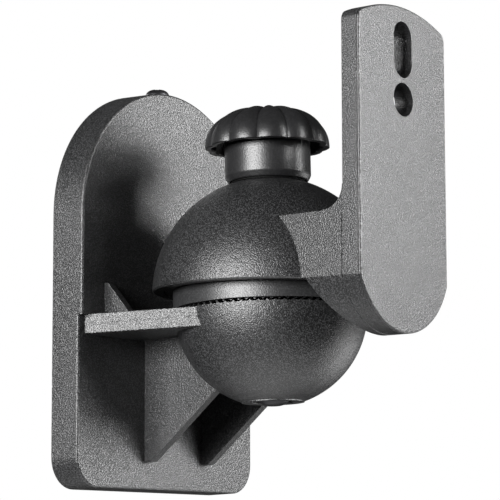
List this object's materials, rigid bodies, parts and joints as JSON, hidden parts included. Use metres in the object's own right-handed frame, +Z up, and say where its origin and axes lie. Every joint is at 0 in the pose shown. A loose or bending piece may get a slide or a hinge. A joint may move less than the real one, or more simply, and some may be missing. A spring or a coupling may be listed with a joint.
{
  "type": "speaker wall bracket",
  "caption": "Wall bracket for a small speaker: tombstone base shell, toothed swivel cup, clamped ball dome with an arm and slotted mounting plate, lobed knob.",
  "frame": {"origin": "on the wall, at the level of the seam between the fixed cup and the swivel ball, in the bracket's middle plane", "axes": "+X to the right seen from the room, +Y into the wall, +Z up"},
  "size_m": [0.058, 0.0684, 0.0961],
  "materials": {
    "graphite_plastic": "fine spark-eroded texture",
    "knob_plastic": "satin gloss",
    "dark_screw": "black",
    "zinc_steel": "zinc plated"
  },
  "bodies": {
    "base": {"base_shell": "graphite_plastic", "wall_plate": "graphite_plastic", "lock_screw": "dark_screw", "clamp_bolt": "zinc_steel", "bolt_washer": "zinc_steel", "release_spring": "zinc_steel"},
    "swivel_ball": {"swivel_ball": "graphite_plastic"},
    "arm": {"dome_arm": "graphite_plastic"},
    "saddle": {"pressure_saddle": "knob_plastic", "thrust_washer": "zinc_steel"},
    "knob": {"knob": "knob_plastic", "knob_nut": "zinc_steel"}
  },
  "joints": [
    {"name": "swivel", "type": "hinge", "parent": "base", "child": "swivel_ball", "pos_m": [0, -0.0348, 0], "axis": [0, 0.0244, 0.9997], "range_deg": [-80, 80]},
    {"name": "tilt", "type": "hinge", "parent": "swivel_ball", "child": "arm", "pos_m": [0, -0.03472, 0.0033], "axis": [1, 0, 0], "range_deg": [-8, 10]},
    {"name": "knob_lift", "type": "slide", "parent": "base", "child": "saddle", "axis": [0, 0.0244, 0.9997], "range_m": [0, 0.0016]},
    {"name": "knob_turn", "type": "hinge", "parent": "saddle", "child": "knob", "pos_m": [0, -0.0348, 0], "axis": [0, 0.0244, 0.9997], "range_deg": [0, 720]}
  ],
  "couplings": [
    {"joint": "knob_lift", "follows": "knob_turn", "m_per_rad": 0.00012732}
  ]
}
